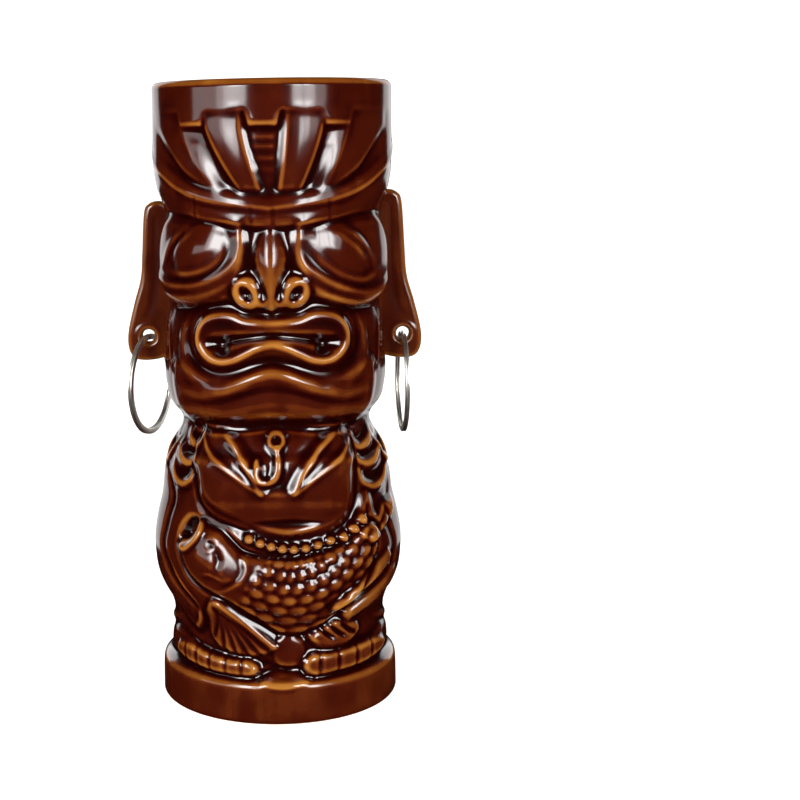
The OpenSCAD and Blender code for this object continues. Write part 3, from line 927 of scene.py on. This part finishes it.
def build_ear(side, name, out, taller):
    """One ear, its outline moved outwards a little. The hole stays where the ring hangs."""
    low = np.array([26.6, EAR_Y - 3.4, 92.6])
    count = (np.array([42, EAR_Y + 3.4, 144]) - low) // EAR_GRID + 1
    axes = [low[k] + EAR_GRID * np.arange(int(count[k])) for k in range(3)]
    x, y, z = np.meshgrid(*axes, indexing="ij")
    grid = openvdb.FloatGrid()
    grid.copyFromArray((ear_field(x, y, z, out, taller) / EAR_GRID).astype(np.float64))
    points, quads = grid.convertToQuads(isovalue=0.0)
    points = np.asarray(points, float) * EAR_GRID + low
    quads = quads[:, ::-1] if side < 0 else quads
    flat_z = unstretched(points[:, 2], taller)
    edge = flat_distance(points[:, 0] - out, flat_z, EAR_OUTLINE)
    hollow = flat_distance(points[:, 0] - out, flat_z, EAR_HOLLOW)
    across = np.hypot(points[:, 0] - EAR_HOLE[0], points[:, 2] - EAR_HOLE[1])
    corner = 0.2 + 0.8 * soft_step((np.abs(points[:, 1] - EAR_Y) - 0.6) / 1.2)
    thin = 0.48 + 0.34 * corner * bump((edge + 0.2) / 1.5) + 0.3 * bump((across - 2.4) / 1.0)
    # Painted shade: the glaze is drawn darker inside the ear's shallow hollow.
    thin -= 0.1 * soft_step(-hollow / 2.5)
    points[:, 0] *= side
    ear = mesh_from(name, points, [np.asarray(quads, np.int64)])
    add_attribute(ear, "thin", np.clip(thin, 0, 1))
    return ear


# ---------------------------------------------------------------- split rings

RING_R = 13.4
RING_CENTRE_Z = 87.0
WIRE = (1.7, 0.58)                # across the ring, and along its axis
COIL_GAP = 0.69                   # between the middles of the two coils
COIL_END = 695.0                  # degrees from one end of the wire to the other
COIL_START = 105.0                # the ends and the step lie at the top, in and beside the hole
COIL_STEP = (333.0, 26.0)         # where the step starts, and how long it is
COIL_POINTS = 420


def ring_section():
    """A flat wire's rounded section, as (outwards, along the axis)."""
    a = np.linspace(0, 2 * np.pi, 20, endpoint=False)
    flat = 0.55
    across = WIRE[0] / 2 * np.sign(np.cos(a)) * np.abs(np.cos(a)) ** flat
    along = WIRE[1] / 2 * np.sign(np.sin(a)) * np.abs(np.sin(a)) ** flat
    return across, along


def build_ring(name, side, yaw):
    """Two turns of flat wire that step over each other once, as a split ring is wound."""
    part = np.linspace(0, COIL_END, COIL_POINTS)
    turn = np.radians(part) + math.radians(COIL_START)
    layer = -COIL_GAP / 2 + COIL_GAP * soft_step((part - COIL_STEP[0]) / COIL_STEP[1])
    across, along = ring_section()
    taper = 0.5 + 0.25 * soft_step(part / 3) + 0.25 * soft_step((COIL_END - part) / 3)
    radius = RING_R + across[None, :] * taper[:, None]
    axis = layer[:, None] + along[None, :] * taper[:, None]
    outwards = radius * np.cos(turn)[:, None]
    height = radius * np.sin(turn)[:, None]
    tilt = math.radians(yaw)
    direction = np.array([side * math.sin(tilt), -math.cos(tilt)])
    normal = np.array([math.cos(tilt), side * math.sin(tilt)])
    x = side * EAR_HOLE[0] + outwards * direction[0] + axis * normal[0]
    y = EAR_Y + outwards * direction[1] + axis * normal[1]
    points = np.stack([x, y, RING_CENTRE_Z + height], -1).reshape(-1, 3)
    rows, cols = radius.shape
    quads = grid_faces(rows, cols)
    caps = [np.arange(cols)[None, ::-1], (np.arange(cols) + (rows - 1) * cols)[None, :]]
    return mesh_from(name, points, [quads] + caps)


# ---------------------------------------------------------------- materials

GLAZE_STOPS = [(0.0, (0.006, 0.0002, 0.0001)), (0.22, (0.013, 0.0006, 0.0002)),
               (0.40, (0.028, 0.0024, 0.0004)), (0.56, (0.056, 0.0092, 0.0013)),
               (0.74, (0.107, 0.0285, 0.0034)), (1.0, (0.22, 0.083, 0.013))]


def set_sockets(node, values):
    for name, value in values.items():
        node.inputs[name].default_value = value


class Finish:
    """A node material and the few kinds of node that its surface is made with."""

    def __init__(self, name):
        self.material = bpy.data.materials.new(name)
        self.material.use_nodes = True
        self.nodes = self.material.node_tree.nodes
        self.link = self.material.node_tree.links.new
        self.shader = self.nodes["Principled BSDF"]

    def noise(self, scale, detail=3.0, stretch=(1, 1, 1)):
        """Noise fixed to the object, in object coordinates."""
        place = self.nodes.new("ShaderNodeTexCoord")
        mapping = self.nodes.new("ShaderNodeMapping")
        texture = self.nodes.new("ShaderNodeTexNoise")
        set_sockets(mapping, {"Scale": stretch})
        set_sockets(texture, {"Scale": scale, "Detail": detail})
        self.link(place.outputs["Object"], mapping.inputs["Vector"])
        self.link(mapping.outputs["Vector"], texture.inputs["Vector"])
        return texture.outputs["Fac"]

    def math(self, operation, *values, clamp=False):
        node = self.nodes.new("ShaderNodeMath")
        node.operation = operation
        node.use_clamp = clamp
        for socket, value in zip(node.inputs, values):
            if isinstance(value, (int, float)):
                socket.default_value = value
            else:
                self.link(value, socket)
        return node.outputs[0]

    def colour(self, factor, stops):
        """Colours the surface by a factor, through stops of (place, colour)."""
        node = self.nodes.new("ShaderNodeValToRGB")
        node.color_ramp.interpolation = "EASE"
        elements = node.color_ramp.elements
        elements[0].position, elements[0].color = stops[0][0], (*stops[0][1], 1)
        elements[1].position, elements[1].color = stops[-1][0], (*stops[-1][1], 1)
        for position, colour in stops[1:-1]:
            elements.new(position).color = (*colour, 1)
        self.link(factor, node.inputs["Fac"])
        self.link(node.outputs["Color"], self.shader.inputs["Base Color"])

    def bump(self, height, strength, distance):
        node = self.nodes.new("ShaderNodeBump")
        set_sockets(node, {"Strength": strength, "Distance": distance})
        self.link(height, node.inputs["Height"])
        self.link(node.outputs["Normal"], self.shader.inputs["Normal"])


def glaze_material():
    """Treacle glaze: dark where it pools, amber where it runs thin over an edge, and darker where
    shade is painted into it.
    """
    glaze = Finish("glaze_treacle")
    thin = glaze.nodes.new("ShaderNodeAttribute")
    thin.attribute_name = "thin"
    clouds = glaze.math("MULTIPLY_ADD", glaze.noise(95, 2), 0.30, -0.15)
    runs = glaze.math("MULTIPLY_ADD", glaze.noise(260, 1, (1, 1, 0.25)), 0.20, -0.10)
    total = glaze.math("ADD", thin.outputs["Fac"], clouds)
    glaze.colour(glaze.math("ADD", total, runs, clamp=True), GLAZE_STOPS)
    set_sockets(glaze.shader, {"Roughness": 0.4, "Specular IOR Level": 0.0, "Coat Weight": 1.0,
                               "Coat Roughness": 0.13, "Coat IOR": 1.55})
    glaze.bump(glaze.noise(140, 1), 0.08, 0.0006)
    return glaze.material


def clay_material():
    """Bare fired clay on the foot ring, where the glaze is wiped off."""
    clay = Finish("bare_clay")
    grain = clay.noise(900, 5)
    clay.colour(grain, [(0.3, (0.42, 0.27, 0.16)), (0.7, (0.62, 0.45, 0.30))])
    set_sockets(clay.shader, {"Roughness": 0.85})
    clay.bump(grain, 0.4, 0.0002)
    return clay.material


def nickel_material():
    """Nickel-plated wire with fine drawing marks and slightly duller patches."""
    nickel = Finish("nickel_plate")
    nickel.colour(nickel.noise(260, 3), [(0.3, (0.72, 0.69, 0.62)), (0.7, (0.86, 0.84, 0.78))])
    set_sockets(nickel.shader, {"Metallic": 1.0})
    marks = nickel.noise(2400, 2, (1, 1, 0.3))
    nickel.link(nickel.math("MULTIPLY_ADD", marks, 0.16, 0.26), nickel.shader.inputs["Roughness"])
    nickel.bump(marks, 0.15, 0.00005)
    return nickel.material


def floor_material():
    """A pale lit sweep, slightly uneven."""
    floor = Finish("pale_floor")
    floor.colour(floor.noise(6, 2), [(0.3, (0.80, 0.80, 0.80)), (0.7, (0.84, 0.84, 0.84))])
    set_sockets(floor.shader, {"Roughness": 0.6, "Specular IOR Level": 0.2,
                               "Emission Color": (1, 1, 1, 1), "Emission Strength": 0.55})
    return floor.material


# ---------------------------------------------------------------- studio

def build_room():
    """A pale round studio: a flat floor that curves up into a wall on every side."""
    section = [(0, 0), (0.4, 0), (2.4, 0)]
    section += [(2.4 + 0.6 * math.sin(a), 0.6 - 0.6 * math.cos(a))
                for a in np.radians(np.arange(6, 91, 6))]
    section += [(3.0, 2.6)]
    count = 96
    turn = np.arange(count) * 2 * np.pi / count
    points = [(r * math.cos(a), r * math.sin(a), z) for r, z in section for a in turn]
    faces = grid_faces(len(section), count).tolist()
    mesh = bpy.data.meshes.new("studio_floor")
    mesh.from_pydata(points, [], faces)
    mesh.shade_smooth()
    mesh.materials.append(floor_material())
    room = new_object("studio_floor", mesh)
    room.visible_glossy = False


def soft_box(name, azimuths, heights, radiance, distance=1.2):
    """An upright rectangular light that faces the mug. Azimuth 0 is in front, + to the right."""
    start, stop = (math.radians(a) for a in azimuths)
    middle = (start + stop) / 2
    data = bpy.data.lights.new(name, "AREA")
    data.shape = "RECTANGLE"
    data.size = 2 * distance * math.tan((stop - start) / 2)
    data.size_y = heights[1] - heights[0]
    data.energy = radiance * math.pi * data.size * data.size_y
    light = new_object(name, data)
    light.location = (distance * math.sin(middle), -distance * math.cos(middle), sum(heights) / 2)
    light.rotation_euler = (math.pi / 2, 0, middle)
    light.visible_camera = False


def build_lights():
    soft_box("left_key", (-43, -21.5), (0.16, 1.0), 9)
    soft_box("left_key_core", (-38.5, -27), (0.24, 0.88), 10, 1.19)
    soft_box("left_key_edge", (-50, -43), (0.16, 1.0), 5)
    soft_box("left_wing", (-80, -50), (0.12, 0.42), 2.2)
    soft_box("right_key", (20.5, 30.4), (0.16, 1.0), 9)
    soft_box("right_key_core", (22.5, 29.9), (0.24, 0.88), 9, 1.19)
    soft_box("right_key_panel", (31.1, 42), (0.16, 1.0), 8.5)
    soft_box("right_key_panel_core", (31.6, 38.5), (0.24, 0.88), 9, 1.19)
    soft_box("right_wing", (42, 53), (0.16, 0.8), 3)
    soft_box("left_edge", (-166, -135), (0.01, 1.0), 1.3)
    soft_box("left_low", (-160, -124), (0.002, 0.07), 1.0, 0.16)
    soft_box("right_low", (124, 160), (0.002, 0.07), 1.0, 0.16)
    soft_box("right_edge", (135, 166), (0.01, 1.0), 1.3)


def build_world():
    """Dim in front of the mug and pale behind it."""
    world = bpy.data.worlds.new("studio")
    bpy.context.scene.world = world
    world.use_nodes = True
    nodes = world.node_tree.nodes
    links = world.node_tree.links
    place = nodes.new("ShaderNodeTexCoord")
    split = nodes.new("ShaderNodeSeparateXYZ")
    level = nodes.new("ShaderNodeMapRange")
    set_sockets(level, {"From Min": 0.0, "From Max": 0.7, "To Min": 0.015, "To Max": 0.06})
    links.new(place.outputs["Generated"], split.inputs[0])
    links.new(split.outputs["Y"], level.inputs["Value"])
    links.new(level.outputs[0], nodes["Background"].inputs["Strength"])


CAMERA_DISTANCE = 0.420
CAMERA_HEIGHT = 0.155
CAMERA_AZIMUTH = 1.56
CAMERA_PITCH = 9.76
CAMERA_ROLL = -0.88


def build_camera():
    data = bpy.data.cameras.new("camera")
    data.lens = 68.5
    data.sensor_width = 36
    data.shift_x = 0.155
    data.clip_start = 0.01
    camera = new_object("camera", data)
    a = math.radians(CAMERA_AZIMUTH)
    place = Matrix.Translation((CAMERA_DISTANCE * math.sin(a), -CAMERA_DISTANCE * math.cos(a),
                                CAMERA_HEIGHT))
    turn = Matrix.Rotation(a, 4, "Z")
    pitch = Matrix.Rotation(math.radians(90 - CAMERA_PITCH), 4, "X")
    roll = Matrix.Rotation(math.radians(CAMERA_ROLL), 4, "Z")
    camera.matrix_world = place @ turn @ pitch @ roll
    bpy.context.scene.camera = camera


# ---------------------------------------------------------------- the whole scene

def build_object():
    glaze = glaze_material()
    mug, bare = build_mug()
    mug.data.materials.append(glaze)
    mug.data.materials.append(clay_material())
    mug.data.polygons.foreach_set("material_index", bare)
    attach(mug, "mug")
    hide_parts("mug_body")
    nickel = nickel_material()
    for side, word, yaw, out, taller in ((-1, "left", 18, 0.6, 0), (1, "right", 3, 0, 2.4)):
        ear = build_ear(side, word + "_ear_lug", out, taller)
        ear.data.materials.append(glaze)
        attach(ear, "mug")
        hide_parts(word + "_ear")
        ring = build_ring(word + "_split_ring", side, yaw)
        ring.data.materials.append(nickel)
        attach(ring, word + "_ring")
        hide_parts(word + "_earring")


build_camera()
build_object()
build_room()
build_lights()
build_world()
bpy.context.scene.view_settings.view_transform = "Standard"
